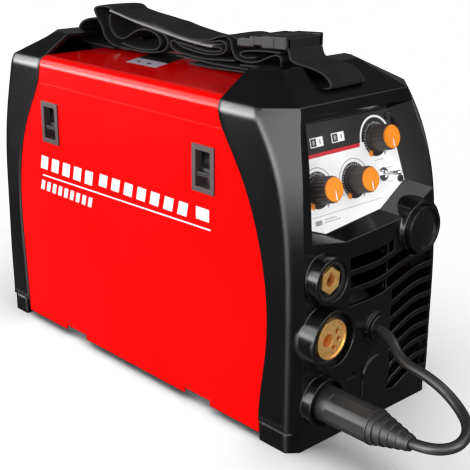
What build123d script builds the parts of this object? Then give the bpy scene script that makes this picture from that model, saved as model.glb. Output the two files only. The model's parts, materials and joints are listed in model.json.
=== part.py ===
from build123d import *
from math import cos, pi, radians, sin, sqrt, tan
import os

# A portable MIG welder: moulded front and rear bezels, a red sheet-metal cover and side door,
# a wire feed bay on the left (-X), power electronics on the right, a carrying strap on top.
# Millimetres, +Z up, front towards -Y. Z = 0 is the floor and the origin is the middle of the footprint.

# ---- driving dimensions ----
FLOOR_GAP = 6.0          # underside of the sheet metal above the floor
FOOT_H = 17.0            # height of the moulded feet
WALL = 3.0               # bezel wall
SHEET = 1.2              # cover and door sheet
PANEL_X = 84.0           # outside of the sheet-metal sides
TOP_Z = 261.0            # outside of the cover's top
FOLD_R = 9.0             # outer radius of the cover's folds
SEAM_Z = 238.0           # top edge of the side door
GAP = 0.5                # gap between sheet metal and bezels
PROUD = 1.5              # how far latches and cover screws stand out of the sides
SHOULDER_Z = 258.0       # where the bezel's sides turn into its raised crown
CROWN_Z = 277.5          # top of the crowns that hold the strap
FRONT_END = -209.5       # front of the torch socket's collar
REAR_END = 209.5         # back of the cable gland

# ---- side view of the bezels: curved seams against the sheet metal, as (y, z) ----
FRONT_SEAM = [(-160, 0), (-160.5, 36), (-166.5, 85), (-160, 150), (-140, 203), (-123, 230), (-114.5, 245),
              (-112.3, 262), (-112, 280), (-112, 300)]
REAR_SEAM = [(163, 0), (166, 80), (163, 155), (146, 204), (131, 229), (124.5, 244), (122.3, 262), (122, 280),
             (122, 300)]

# ---- horizontal sections of the bezels: z, half width, side crease y, face half width, face y ----
FRONT_SECTIONS = [
    (FOOT_H, 85, -189, 76, -196),
    (50, 85, -189.3, 76, -196.3),
    (85, 85, -189, 76, -196.3),
    (120, 85, -188.3, 76, -195.8),
    (155, 85, -186.5, 75.7, -194),
    (190, 85, -181.5, 74.3, -190.3),
    (222, 85, -171, 70, -183),
    (252, 85, -153, 62, -173.5),
]
REAR_SECTIONS = [
    (FOOT_H, 85, 189, 76, 195),
    (50, 85, 189, 76, 195.2),
    (85, 85, 188.8, 76, 195.2),
    (120, 85, 188, 76, 195),
    (155, 85, 187, 75.5, 193.5),
    (190, 85, 183, 74.5, 190.5),
    (222, 85, 175.5, 72, 185),
    (252, 85, 166.5, 66, 176),
]
FRONT_SHOULDER = (SHOULDER_Z, 83, -150, 60.5, -171.5)
REAR_SHOULDER = (SHOULDER_Z, 83, 165, 64, 174)
FRONT_CROWN = [(55, -100), (52, -120), (43, -134)]     # half outline of the front crown's top
REAR_CROWN = [(55, 110), (52, 140), (45, 150)]         # half outline of the rear crown's top
FRONT_CORE_Y = -100.0    # the bezel lofts start here and the seams trim them
REAR_CORE_Y = 110.0
STRAP_SLOT_W = 46.0      # width of the slots that the strap passes through
FRONT_SLOT_Y = (-161.0, -143.0)
REAR_SLOT_Y = (140.0, 158.0)

# ---- control panel: a pocket that leans back ----
LEAN = 15.0
PANEL_ORIGIN = (0, -160.0, 245.0)
OVERLAY_T = 1.0
POCKET_OUT = 26.0        # length of the pocket cutter, along the panel's normal
POCKET_FLOOR = [(-56, -3), (50, -4), (58, -62), (24, -79), (-40, -85), (-56, -79)]
POCKET_MOUTH = [(-58, 7), (72, 2), (88, -82), (56, -101), (-16, -105), (-80, -97)]
KNOB_SPOTS = {"upper": (30.5, -24.8), "centre": (-0.6, -51.8), "left": (-41.2, -51.8)}
KNOB_R = 10.0
KNOB_H = 15.0
KNOB_RIBS = 20
CAP_R = 8.9
CAP_T = 1.2
SHAFT_R = 3.0
RUNNING = 0.05           # radial clearance of shafts in their bores
TOGGLE_SPOT = (32.0, -53.2)
TOGGLE_TILT = 20.0
TOGGLE_PIVOT = -1.0
TOGGLE_PIN_R = 0.7
WINDOW_SPOTS = [(-34.9, -17.4), (-11.6, -17.2)]
SCREW_SPOTS = [(48.0, -9.5), (52.3, -60.0)]

# ---- sockets in one column on the front ----
SOCKET_X = -57.0
UPPER_Z = 137.0
TORCH_Z = 92.0
LOWER_Z = 39.0
UPPER_R = 18.0
TORCH_R = 23.5
LOWER_R = 20.0
TORCH_FACE_R = 15.5      # brass face of the torch connector
TORCH_HOLE_OUT = 7.8     # its three small holes, from the middle
TORCH_HOLE_ANGLES = (40, -12, -68)
UPPER_RIM = -206.0
LOWER_RIM = -205.0
COLLAR_BACK = -176.0
COLLARS = [(UPPER_Z, UPPER_R, UPPER_RIM), (TORCH_Z, TORCH_R, FRONT_END), (LOWER_Z, LOWER_R, LOWER_RIM)]

# ---- badge and louvres ----
BADGE_X = 55.0
BADGE_Z = 150.0
BADGE_R = 19.0
BOSS_R = 22.5
LOUVRES = 10
LOUVRE_LEFT_X = -26.0
LOUVRE_RIGHT_X = 75.0
LOUVRE_INNER_X = 24.0
SLAT_H = 4.4
GROMMET_X = 7.0
GROMMET_Z = 79.0
BLANK_X = 9.5            # arched blank beside the lowest collar
BLANK_Z = 38.0
BLANK_R = 17.0
BLANK_FOOT_Z = 24.0
BLANK_Y = (-197.5, -194.0)
BLANK_SIDES = (BLANK_X - BLANK_R, BLANK_X + BLANK_R)
CLIP_SLOT = ((-30, -16), (-198, -194.8), (44, 49))

# ---- polarity lead ----
CABLE_D = 8.0
CABLE_ROUTE = [           # from inside the grommet to the bottom of the boot's bore
    (7.0, -188.0, 79.0), (7.0, -210.0, 79.0), (-4.5, -228.5, 66.0),
    (-2.5, -258.0, 61.0), (-2.5, -281.0, 50.0), (-17.0, -304.0, 43.5),
    (-40.5, -310.0, 40.0), (-57.0, -294.5, 39.0), (-57.0, -273.0, 39.0),
]
PLUG_R = 13.8
BOOT_START = -252.0
BOOT_END = -283.0
BOOT_RINGS = 5
BOOT_ROOT_R = 13.0
BOOT_TIP_R = 6.8

# ---- wire bay ----
DIVIDER_X = -8.0
DIVIDER_T = 1.2
SPOOL_Y = 42.0
SPOOL_Z = 118.0
SPOOL_R = 99.0
SPOOL_BORE_R = 25.6
SPOOL_X = (-72.0, -20.0)
FLANGE_T = 3.0
WIRE_X = SOCKET_X - 4.0    # the wire leaves through the torch connector's liner bore
WIRE_Z = TORCH_Z
ROLL_Y = -115.0
DRIVE_R = 15.0
PRESS_R = 11.0
WIRE_GAP = 0.9
ARM_PIVOT_Y = -92.0
ARM_PIVOT_Z = 122.0

# ---- door ----
HINGE_X = -80.2
HINGE_Z = 10.1
HINGE_Y = (-87.0, 84.0)
KNUCKLE_R = 2.6
PIN_R = 1.2
LATCH_Y = (-96.5, 109.2)
LATCH_Z = 203.0
LATCH_W = 25.0
LATCH_H = 37.0

# ---- carrying strap ----
STRAP_HALF = 19.0
BUCKLE_HALF = 21.0

# ---- fan and rear fittings ----
FAN_X = 38.0
FAN_Z = 105.0
FAN_SIZE = 80.0
FAN_Y = (162.0, 187.0)
ROCKER_PIN = (186.0, 209.0)   # y, z


# ---- helpers ----
def block(x, y, z):
    """A box from its low and high limits along each axis."""
    size = (x[1] - x[0], y[1] - y[0], z[1] - z[0])
    middle = ((x[0] + x[1]) / 2, (y[0] + y[1]) / 2, (z[0] + z[1]) / 2)
    return Pos(*middle) * Box(*size)


def rod_x(y, z, r, x):
    """A cylinder along X."""
    return Pos((x[0] + x[1]) / 2, y, z) * Rot(0, 90, 0) * Cylinder(r, x[1] - x[0])


def rod_y(x, z, r, y):
    """A cylinder along Y."""
    return Pos(x, (y[0] + y[1]) / 2, z) * Rot(90, 0, 0) * Cylinder(r, y[1] - y[0])


def rod_z(x, y, r, z):
    """A cylinder along Z."""
    return Pos(x, y, (z[0] + z[1]) / 2) * Cylinder(r, z[1] - z[0])


def cone_y(x, z, r_front, r_back, y):
    """A cone along Y, y[0] being its front."""
    return Pos(x, (y[0] + y[1]) / 2, z) * Rot(90, 0, 0) * Cone(r_back, r_front, y[1] - y[0])


def side_outline(points, x):
    """Extrudes a closed (y, z) outline across the given range of X."""
    face = Plane.YZ * make_face(Polyline(*points, close=True))
    return Pos(x[0], 0, 0) * extrude(face, amount=x[1] - x[0])


def panel_plane(lift=0.0):
    """The control panel's plane, lifted along its normal."""
    lean = radians(LEAN)
    normal = Vector(0, -cos(lean), sin(lean))
    return Plane(origin=Vector(*PANEL_ORIGIN) + normal * lift, x_dir=(1, 0, 0), z_dir=normal)


def panel_rod(spot, r, low, high):
    """A cylinder standing on the control panel, from low to high along its normal."""
    return panel_plane(low) * Pos(spot[0], spot[1], (high - low) / 2) * Cylinder(r, high - low)


def panel_block(u, v, w):
    """A box in the control panel's axes."""
    middle = ((u[0] + u[1]) / 2, (v[0] + v[1]) / 2, (w[0] + w[1]) / 2)
    return panel_plane() * Pos(*middle) * Box(u[1] - u[0], v[1] - v[0], w[1] - w[0])


def save(name, *shapes):
    """Writes one node: one solid, or a group of separate solids."""
    shape = shapes[0] if len(shapes) == 1 else Compound(children=list(shapes))
    export_step(shape, os.path.join("parts", name + ".step"))


# ---- sheet metal zone between the two bezels ----
def seam_curve(points, shift):
    return Spline(*[(y + shift, z) for y, z in points])


def sheet_zone(gap):
    """Everything between the bezels' seams, drawn in by a gap, across the full width."""
    front = seam_curve(FRONT_SEAM, gap)
    rear = seam_curve(REAR_SEAM, -gap)
    top = Line(front @ 1, rear @ 1)
    bottom = Line(front @ 0, rear @ 0)
    face = Plane.YZ * make_face([front, top, rear, bottom])
    return Pos(-120, 0, 0) * extrude(face, amount=240)


# ---- bezels ----
def bezel_section(z, half, crease_y, face_half, face_y, core_y, inset):
    """One horizontal section of a bezel, drawn in by the wall."""
    inward = inset if face_y < 0 else -inset
    side = half - inset
    nose = face_half - inset * 0.6
    points = [(side, core_y), (side, crease_y + inward), (nose, face_y + inward),
              (-nose, face_y + inward), (-side, crease_y + inward), (-side, core_y)]
    return Plane.XY.offset(z) * make_face(Polyline(*points, close=True))


def crown_section(outline, inset, z):
    """The flat top of a crown."""
    inward = inset if outline[-1][1] < 0 else -inset
    half = [(x - inset, y if i == 0 else y + inward) for i, (x, y) in enumerate(outline)]
    points = half + [(-x, y) for x, y in reversed(half)]
    return Plane.XY.offset(z) * make_face(Polyline(*points, close=True))


def bezel_core(sections, shoulder, crown, core_y, inset):
    """A bezel filled solid: body, shoulder and crown; drawn in by a wall it is the hollow."""
    shapes = []
    for i, (z, half, crease_y, face_half, face_y) in enumerate(sections):
        height = z + inset if i == 0 else z
        shapes.append(bezel_section(height, half, crease_y, face_half, face_y, core_y, inset))
    z, half, crease_y, face_half, face_y = shoulder
    brow = bezel_section(z - inset / 2, half, crease_y, face_half, face_y, core_y, inset)
    top = crown_section(crown, inset, CROWN_Z - inset)
    return loft(shapes) + loft([shapes[-1], brow, top], ruled=True)


def pocket(grow, start):
    """The control panel's pocket; grown by a wall it is the pocket's moulding."""
    def ring(points, lift):
        middle = Vector(0, -45, 0)
        grown = []
        for u, v in points:
            out = Vector(u, v, 0) - middle
            grown.append(Vector(u, v, 0) + out.normalized() * grow)
        return panel_plane(lift) * make_face(Polyline(*grown, close=True))
    return loft([ring(POCKET_FLOOR, start), ring(POCKET_MOUTH, POCKET_OUT)], ruled=True)


def slat_height(row, x):
    """Height of the middle of louvre slat number row, at x: level, a rise, then level."""
    left = 132.0 - 14.3 * row
    right = 142.5 - 13.1 * row
    t = min(max(x / 62.0, 0.0), 1.0)
    return left + (right - left) * t * t * (3 - 2 * t)


def louvre_slot(row):
    """The opening between two neighbouring slats."""
    start = LOUVRE_LEFT_X if row < 3 else LOUVRE_INNER_X
    stop = 26.0 if row == 0 else LOUVRE_RIGHT_X
    stations = [start + (stop - start) * i / 6 for i in range(7)]
    upper = Spline(*[(x, slat_height(row - 1, x) - SLAT_H / 2) for x in stations])
    lower = Spline(*[(x, slat_height(row, x) + SLAT_H / 2) for x in stations])
    ends = [Line(upper @ 0, lower @ 0), Line(upper @ 1, lower @ 1)]
    face = Plane.XZ * make_face([upper, lower] + ends)
    return Pos(0, -185, 0) * extrude(face, amount=30)


def make_front_bezel():
    outer = bezel_core(FRONT_SECTIONS, FRONT_SHOULDER, FRONT_CROWN, FRONT_CORE_Y, 0)
    hollow = bezel_core(FRONT_SECTIONS, FRONT_SHOULDER, FRONT_CROWN, FRONT_CORE_Y + 1, WALL)
    hollow -= pocket(WALL, -OVERLAY_T - WALL)
    shell = outer - hollow - pocket(0, -OVERLAY_T)
    shell += cone_y(BADGE_X, BADGE_Z, BOSS_R, 28.0, (-198, -172))
    shell -= rod_y(BADGE_X, BADGE_Z, BADGE_R + 0.3, (-204, -195))
    for z, r, rim in COLLARS:
        shell += rod_y(SOCKET_X, z, r, (rim, COLLAR_BACK))
        shell -= rod_y(SOCKET_X, z, r - 2.4, (rim - 1, COLLAR_BACK - 3))
        shell -= rod_y(SOCKET_X, z, r - 5.4, (rim, COLLAR_BACK + 1))
    arch = rod_y(BLANK_X, BLANK_Z, BLANK_R, BLANK_Y) + block(BLANK_SIDES, BLANK_Y, (BLANK_FOOT_Z, BLANK_Z))
    shell += arch - block(BLANK_SIDES, (-200, -190), (0, BLANK_FOOT_Z))
    shell -= block(*CLIP_SLOT)
    for row in range(LOUVRES):
        shell -= louvre_slot(row)
    shell += block((19.2, 20.8), (-193.5, -190.5), (96, 148))
    plate = rod_y(GROMMET_X, GROMMET_Z, 14.0, (-198.5, -192))
    shell += plate - rod_y(GROMMET_X, GROMMET_Z, 9.0, (-200, -190))
    shell -= rod_y(GROMMET_X, GROMMET_Z, 9.0, (-200, -185))
    shell -= block((-STRAP_SLOT_W / 2, STRAP_SLOT_W / 2), FRONT_SLOT_Y, (252, 290))
    for spot in KNOB_SPOTS.values():
        shell -= panel_rod(spot, 3.8, -9, 0)
    shell -= panel_rod(TOGGLE_SPOT, 3.3, -9, 0)
    for spot in SCREW_SPOTS:
        shell -= panel_rod(spot, 1.45, -9, 0)
    return shell - sheet_zone(0)


def make_rear_bezel():
    outer = bezel_core(REAR_SECTIONS, REAR_SHOULDER, REAR_CROWN, REAR_CORE_Y, 0)
    hollow = bezel_core(REAR_SECTIONS, REAR_SHOULDER, REAR_CROWN, REAR_CORE_Y - 1, WALL)
    shell = outer - hollow
    for row in range(9):
        half = 36.0 - 2.4 * abs(row - 4)
        z = FAN_Z + (row - 4) * 8.4
        shell -= block((FAN_X - half, FAN_X + half), (180, 200), (z - 2.2, z + 2.2))
    shell -= block((-62.5, -37.5), (170, 210), (198.5, 219.5))
    shell -= rod_y(-50, 160, 10.0, (170, 210))
    shell -= rod_y(-50, 60, 6.5, (170, 210))
    shell -= block((-STRAP_SLOT_W / 2, STRAP_SLOT_W / 2), REAR_SLOT_Y, (252, 290))
    return shell - sheet_zone(0)


def make_foot(sections, core_y, front):
    """A moulded foot following a bezel's plan, a little inside it."""
    z, half, crease_y, face_half, face_y = sections[0]
    outer = bezel_section(0, half, crease_y, face_half, face_y, core_y, 1.2)
    inner = bezel_section(0, half, crease_y, face_half, face_y, core_y, 13.0)
    ring = extrude(outer, amount=z) - extrude(inner, amount=z)
    deck = extrude(outer, amount=z) - extrude(outer, amount=z - 4)
    return (ring + deck) & block((-100, 100), front, (0, z))


# ---- sheet metal ----
def make_base_tray():
    tray = block((-74, PANEL_X - SHEET), (-158, 161), (FLOOR_GAP, FLOOR_GAP + 1.5))
    lip = block((-74, PANEL_X - SHEET), (0, 1.5), (FLOOR_GAP, 30))
    return tray + Pos(0, -158, 0) * lip + Pos(0, 159.5, 0) * lip


def make_main_cover(zone):
    """The bent cover: the right side, the top, and a strip above the side door."""
    def bend(half, top, r):
        path = Rectangle(2 * half, 2 * top)
        return Plane.XZ * fillet(path.vertices(), r)
    outer = extrude(bend(PANEL_X, TOP_Z, FOLD_R), amount=400)
    inner = extrude(bend(PANEL_X - SHEET, TOP_Z - SHEET, FOLD_R - SHEET), amount=400)
    sheet = Pos(0, 200, 0) * (outer - inner)
    sheet -= block((-120, 120), (-250, 250), (-300, FLOOR_GAP))
    sheet -= block((-120, -60), (-250, 250), (FLOOR_GAP, SEAM_Z))
    return sheet & zone


def make_side_door(zone):
    """The hinged left side, with windows for the latches and notches for the hinges."""
    door = block((-PANEL_X, SHEET - PANEL_X), (-250, 250), (FLOOR_GAP, SEAM_Z - GAP)) & zone
    for y in LATCH_Y:
        door -= block((-90, -80), (y - 10.3, y + 10.3), (LATCH_Z - 16.3, LATCH_Z + 16.3))
    for y in HINGE_Y:
        door -= block((-90, -80), (y - 16, y + 16), (0, HINGE_Z + 0.4))
    rim = block((SHEET - PANEL_X, 9 - PANEL_X), (-104, 112), (SEAM_Z - GAP - SHEET, SEAM_Z - GAP))
    return door + rim


def hinge_knuckles(y, spans):
    ring = [rod_y(HINGE_X, HINGE_Z, KNUCKLE_R, (y + a, y + b)) for a, b in spans]
    hole = rod_y(HINGE_X, HINGE_Z, PIN_R + RUNNING, (y - 20, y + 20))
    return [piece - hole for piece in ring]


def make_door_hinge_leaves():
    leaves = []
    for y in HINGE_Y:
        plate = block((SHEET - PANEL_X, 2 * SHEET - PANEL_X), (y - 14, y + 14), (HINGE_Z + 3.0, 30))
        middle = hinge_knuckles(y, [(-4.8, 4.8)])[0]
        arm = block((SHEET - PANEL_X, 2 * SHEET - PANEL_X), (y - 4.8, y + 4.8), (HINGE_Z, 14))
        hole = rod_y(HINGE_X, HINGE_Z, PIN_R + RUNNING, (y - 20, y + 20))
        leaves.append(plate + arm + middle - hole)
    return leaves


def make_base_hinge_leaves():
    leaves = []
    low = HINGE_Z - KNUCKLE_R
    for y in HINGE_Y:
        plate = block((-73.5, -58), (y - 14, y + 14), (low, low + SHEET))
        ends = hinge_knuckles(y, [(-14, -5), (5, 14)])
        hole = rod_y(HINGE_X, HINGE_Z, PIN_R + RUNNING, (y - 20, y + 20))
        for knuckle, (a, b) in zip(ends, [(-14, -5), (5, 14)]):
            plate += knuckle + block((HINGE_X, -73.5), (y + a, y + b), (low, low + SHEET))
        leaves.append(plate - hole)
    return leaves


def make_hinge_pins():
    pins = []
    for y in HINGE_Y:
        head = rod_y(HINGE_X, HINGE_Z, 2.0, (y - 15, y - 14))
        pins.append(rod_y(HINGE_X, HINGE_Z, PIN_R, (y - 14, y + 14)) + head)
    return pins


def make_latch_frames():
    """Two snap-in frames: a flange outside the door and a guide through its window."""
    frames = []
    for y in LATCH_Y:
        flange = block((-PANEL_X - PROUD, -PANEL_X), (y - LATCH_W / 2, y + LATCH_W / 2),
                       (LATCH_Z - LATCH_H / 2, LATCH_Z + LATCH_H / 2))
        guide = block((-PANEL_X, -72), (y - 10, y + 10), (LATCH_Z - 16, LATCH_Z + 16))
        well = block((-90, -74), (y - 8.2, y + 8.2), (LATCH_Z - 14.2, LATCH_Z + 14.2))
        frames.append(flange + guide - well)
    return frames


def make_latch_slider(y):
    """A finger tab that slides down inside its frame."""
    body = block((-81, -74.3), (y - 8.0, y + 8.0), (LATCH_Z - 6.0, LATCH_Z + 14.0))
    scoop = Pos(-84.5, y, LATCH_Z + 7) * Rot(90, 0, 0) * Cylinder(8.0, 13)
    tab = block((-84.6, -81), (y - 7.0, y + 7.0), (LATCH_Z - 6.0, LATCH_Z - 2.5))
    return body - scoop + tab


def make_centre_divider():
    wall = block((DIVIDER_X, DIVIDER_X + DIVIDER_T), (-156, 150), (FLOOR_GAP + 1.5, TOP_Z - SHEET - 0.3))
    wall -= block((-20, 20), (-170, -112), (150, 300))
    foot = block((DIVIDER_X, DIVIDER_X + 12), (-150, 150), (FLOOR_GAP + 1.5, FLOOR_GAP + 2.7))
    return wall + foot - rod_x(ROLL_Y, WIRE_Z - WIRE_GAP / 2 - DRIVE_R, 22.0, (-20, 5))


def make_cover_screws():
    """Dome-head screws along the right side."""
    screws = []
    for y, z in [(-140, 30), (0, 30), (140, 30), (-135, 190), (135, 190), (-104, 243), (112, 243)]:
        head = rod_x(y, z, 4.2, (PANEL_X, PANEL_X + PROUD))
        screws.append(head - rod_x(y, z, 1.5, (PANEL_X + 0.7, PANEL_X + 3)))
    return screws


# ---- control panel ----
def make_control_overlay():
    points = [(-55.6, -3.4), (49.7, -4.4), (57.5, -61.6), (23.8, -78.6), (-40, -84.5), (-55.6, -78.7)]
    plate = panel_plane(-OVERLAY_T) * extrude(make_face(Polyline(*points, close=True)), amount=OVERLAY_T)
    plate -= cone_y(BADGE_X, BADGE_Z, BOSS_R + 0.3, 28.3, (-198, -172))
    for spot in KNOB_SPOTS.values():
        plate -= panel_rod(spot, 3.8, -3, 2)
    plate -= panel_rod(TOGGLE_SPOT, 3.3, -3, 2)
    for spot in SCREW_SPOTS:
        plate -= panel_rod(spot, 1.45, -3, 2)
    for u, v in WINDOW_SPOTS:
        plate -= panel_block((u - 7.0, u + 7.0), (v - 3.6, v + 3.6), (-3, 2))
    return plate


def make_indicator_windows():
    return [panel_block((u - 6.95, u + 6.95), (v - 3.55, v + 3.55), (-OVERLAY_T, 0.4))
            for u, v in WINDOW_SPOTS]


def make_knob(spot):
    """A ribbed knob on the turning shaft of its potentiometer."""
    ring = []
    for i in range(2 * KNOB_RIBS):
        r = KNOB_R if i % 2 else KNOB_R - 0.7
        ring.append((r * cos(pi * i / KNOB_RIBS), r * sin(pi * i / KNOB_RIBS)))
    outline = make_face(Polyline(*ring, close=True))
    ribbed = panel_plane(0.8) * Pos(spot[0], spot[1], 0) * extrude(outline, KNOB_H)
    skirt = panel_rod(spot, KNOB_R + 1.0, 0.5, 2.2)
    shaft = panel_rod(spot, SHAFT_R, -15, 0.8)
    return ribbed + skirt + shaft


def make_knob_cap(spot):
    top = KNOB_H + 0.8
    pointer = Pos(spot[0], spot[1] - CAP_R / 2, 0.3) * Box(1.0, CAP_R - 1.5, 0.6)
    return panel_rod(spot, CAP_R, top, top + CAP_T) + panel_plane(top + CAP_T) * pointer


def make_potentiometers():
    pots = []
    for spot in KNOB_SPOTS.values():
        body = panel_rod(spot, 8.0, -16, -7.6) + panel_rod(spot, 3.5, -7.6, -0.1)
        pots.append(body - panel_rod(spot, SHAFT_R + RUNNING, -20, 2))
    return pots


def make_control_board():
    board = panel_block((-54, 44), (-74, -8), (-18.0, -16.4))
    for spot in list(KNOB_SPOTS.values()) + [TOGGLE_SPOT]:
        board -= panel_rod(spot, 4.0, -20, -15)
    return board


def toggle_pin(r, half):
    """The toggle's pivot pin, up and down the panel through its bushing."""
    place = panel_plane(TOGGLE_PIVOT) * Pos(TOGGLE_SPOT[0], TOGGLE_SPOT[1], 0)
    return place * Rot(90, 0, 0) * Cylinder(r, 2 * half)


def make_toggle_body():
    body = panel_rod(TOGGLE_SPOT, 5.5, -16, -7.6) + panel_rod(TOGGLE_SPOT, 3.1, -7.6, 0)
    body += panel_rod(TOGGLE_SPOT, 5.4, 0, 1.8) + panel_rod(TOGGLE_SPOT, 3.1, 1.8, 4.5)
    mouth = panel_plane(0.5) * Pos(TOGGLE_SPOT[0], TOGGLE_SPOT[1], 2.5) * Cone(1.6, 4.4, 5.0)
    return body - mouth - panel_rod(TOGGLE_SPOT, 2.2, -6, 2) - toggle_pin(TOGGLE_PIN_R + RUNNING, 4.0)


def make_toggle_lever():
    place = panel_plane(TOGGLE_PIVOT) * Pos(TOGGLE_SPOT[0], TOGGLE_SPOT[1], 0) * Rot(0, TOGGLE_TILT, 0)
    stem = place * Pos(0, 0, 7.5) * Cone(0.9, 1.9, 15)
    tip = place * Pos(0, 0, 15) * Sphere(1.9)
    return stem + tip + toggle_pin(TOGGLE_PIN_R, 3.0)


def make_panel_screws():
    screws = []
    for spot in SCREW_SPOTS:
        slot = panel_block((spot[0] - 2, spot[0] + 2), (spot[1] - 0.4, spot[1] + 0.4), (0.8, 2))
        head = panel_rod(spot, 2.8, 0, 1.4) - slot
        screws.append(head + panel_rod(spot, 1.4, -8, 0))
    return screws


def make_badge():
    """A plain domed badge in its ring."""
    ring = rod_y(BADGE_X, BADGE_Z, BADGE_R, (-201.5, -195))
    ring -= rod_y(BADGE_X, BADGE_Z, BADGE_R - 2, (-203, -199.5))
    dome_r = 60.0
    cap_r = BADGE_R - 2.2
    sink = sqrt(dome_r ** 2 - cap_r ** 2)
    dome = Pos(BADGE_X, -199.5 + sink, BADGE_Z) * Sphere(dome_r)
    return ring + (dome & rod_y(BADGE_X, BADGE_Z, cap_r, (-206, -199.4)))


# ---- sockets ----
def make_upper_socket():
    """Housing of the negative socket, sunk in its collar."""
    body = rod_y(SOCKET_X, UPPER_Z, UPPER_R - 2.5, (UPPER_RIM + 2.5, COLLAR_BACK - 3.1))
    body += rod_y(SOCKET_X, UPPER_Z, UPPER_R - 5.5, (COLLAR_BACK - 3.1, -160))
    body -= rod_y(SOCKET_X, UPPER_Z, 12.4, (UPPER_RIM, UPPER_RIM + 6))
    return body - rod_y(SOCKET_X, UPPER_Z, 7.5, (UPPER_RIM, -150))


def make_upper_contact():
    """Brass contact: hexagonal face, round bore with a keyway, stud behind."""
    hexagon = Plane.XZ * RegularPolygon(10.4, 6, rotation=25)
    face = Pos(SOCKET_X, UPPER_RIM + 6, UPPER_Z) * extrude(hexagon, amount=3.4)
    stem = rod_y(SOCKET_X, UPPER_Z, 7.4, (UPPER_RIM + 6, -158)) + rod_y(SOCKET_X, UPPER_Z, 4.0, (-158, -148))
    bore = rod_y(SOCKET_X, UPPER_Z, 4.6, (UPPER_RIM - 1, -178))
    key = block((SOCKET_X - 1.3, SOCKET_X + 1.3), (UPPER_RIM - 1, -196), (UPPER_Z, UPPER_Z + 6.4))
    return face + stem - bore - key


def make_torch_housing():
    body = rod_y(SOCKET_X, TORCH_Z, TORCH_R - 2.5, (FRONT_END + 7, COLLAR_BACK - 3.1))
    body += rod_y(SOCKET_X, TORCH_Z, TORCH_R - 5.5, (COLLAR_BACK - 3.1, -166))
    return body - rod_y(SOCKET_X, TORCH_Z, 15.6, (FRONT_END, -150))


def make_torch_connector():
    """Brass torch connector: a round face with the liner bore and three smaller holes."""
    face = rod_y(SOCKET_X, TORCH_Z, TORCH_FACE_R, (FRONT_END + 2.5, FRONT_END + 6.9))
    rim = face - rod_y(SOCKET_X, TORCH_Z, TORCH_FACE_R - 1.2, (FRONT_END, FRONT_END + 3.3))
    body = rim + rod_y(SOCKET_X, TORCH_Z, TORCH_FACE_R, (FRONT_END + 6.9, -160))
    body -= rod_y(WIRE_X, WIRE_Z, 1.6, (-220, -150)) + rod_y(WIRE_X, WIRE_Z, 5.2, (-220, -190))
    for angle in TORCH_HOLE_ANGLES:
        x = SOCKET_X + TORCH_HOLE_OUT * cos(radians(angle))
        z = TORCH_Z + TORCH_HOLE_OUT * sin(radians(angle))
        body -= rod_y(x, z, 2.1, (-220, -195))
    return body


def make_lower_socket():
    body = rod_y(SOCKET_X, LOWER_Z, LOWER_R - 2.5, (LOWER_RIM + 8, COLLAR_BACK - 3.1))
    body += rod_y(SOCKET_X, LOWER_Z, LOWER_R - 5.5, (COLLAR_BACK - 3.1, -160))
    return body - rod_y(SOCKET_X, LOWER_Z, 7.5, (LOWER_RIM, -150))


def make_lower_contact():
    body = rod_y(SOCKET_X, LOWER_Z, 7.4, (LOWER_RIM + 8, -158)) + rod_y(SOCKET_X, LOWER_Z, 4.0, (-158, -148))
    return body - rod_y(SOCKET_X, LOWER_Z, 4.55, (LOWER_RIM, -178))


# ---- polarity lead ----
def make_grommet():
    body = rod_y(GROMMET_X, GROMMET_Z, 8.9, (-200, -186)) + rod_y(GROMMET_X, GROMMET_Z, 11.0, (-200, -198.6))
    return body - rod_y(GROMMET_X, GROMMET_Z, CABLE_D / 2 + 0.05, (-210, -180))


def route_radii(route):
    """The largest bend radius each corner of a route has room for."""
    radii = []
    for a, b, c in zip(route, route[1:], route[2:]):
        before = Vector(*b) - Vector(*a)
        after = Vector(*c) - Vector(*b)
        half_turn = radians(before.get_angle(after)) / 2
        radii.append(0.45 * min(before.length, after.length) / tan(half_turn))
    return radii


def make_polarity_cable():
    radii = route_radii(CABLE_ROUTE)
    print("polarity cable bend radii", [round(r, 1) for r in radii])
    path = FilletPolyline(*CABLE_ROUTE, radius=radii)
    start = Plane(origin=path @ 0, z_dir=path % 0)
    tube = sweep(start * Circle(CABLE_D / 2), path=path)
    print("polarity cable length", round(path.length, 1), "volume ratio",
          round(tube.volume / (pi * CABLE_D ** 2 / 4 * path.length), 4))
    return tube


def make_plug_sleeve():
    """The plug's insulating sleeve, with flat grip panels around it."""
    x, z = SOCKET_X, LOWER_Z
    sleeve = rod_y(x, z, PLUG_R, (BOOT_START, LOWER_RIM + 8))
    for i in range(6):
        groove = Pos(0, 0, PLUG_R + 0.3) * Box(7.5, 36, 1.8)
        sleeve -= Pos(x, BOOT_START + 20, z) * Rot(0, 60 * i + 30, 0) * groove
    return sleeve - rod_y(x, z, 4.5, (-222, LOWER_RIM + 9))


def make_plug_pin():
    """The brass pin, half in its sleeve and half in the socket's contact."""
    return rod_y(SOCKET_X, LOWER_Z, 4.5, (-222, -180))


def make_plug_boot():
    """A rubber boot over the cable's end: a tapered core with rings that get smaller."""
    length = (BOOT_START - BOOT_END) / BOOT_RINGS
    boot = cone_y(SOCKET_X, LOWER_Z, BOOT_TIP_R - 1.2, BOOT_ROOT_R - 1.2, (BOOT_END, BOOT_START))
    for i in range(BOOT_RINGS):
        back = BOOT_START - length * i
        r = BOOT_ROOT_R + (BOOT_TIP_R - BOOT_ROOT_R) * i / (BOOT_RINGS - 1)
        boot += cone_y(SOCKET_X, LOWER_Z, r - 0.5, r, (back - length * 0.68, back))
    return boot - rod_y(SOCKET_X, LOWER_Z, CABLE_D / 2 + RUNNING, (BOOT_END - 1, CABLE_ROUTE[-1][1]))


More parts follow.
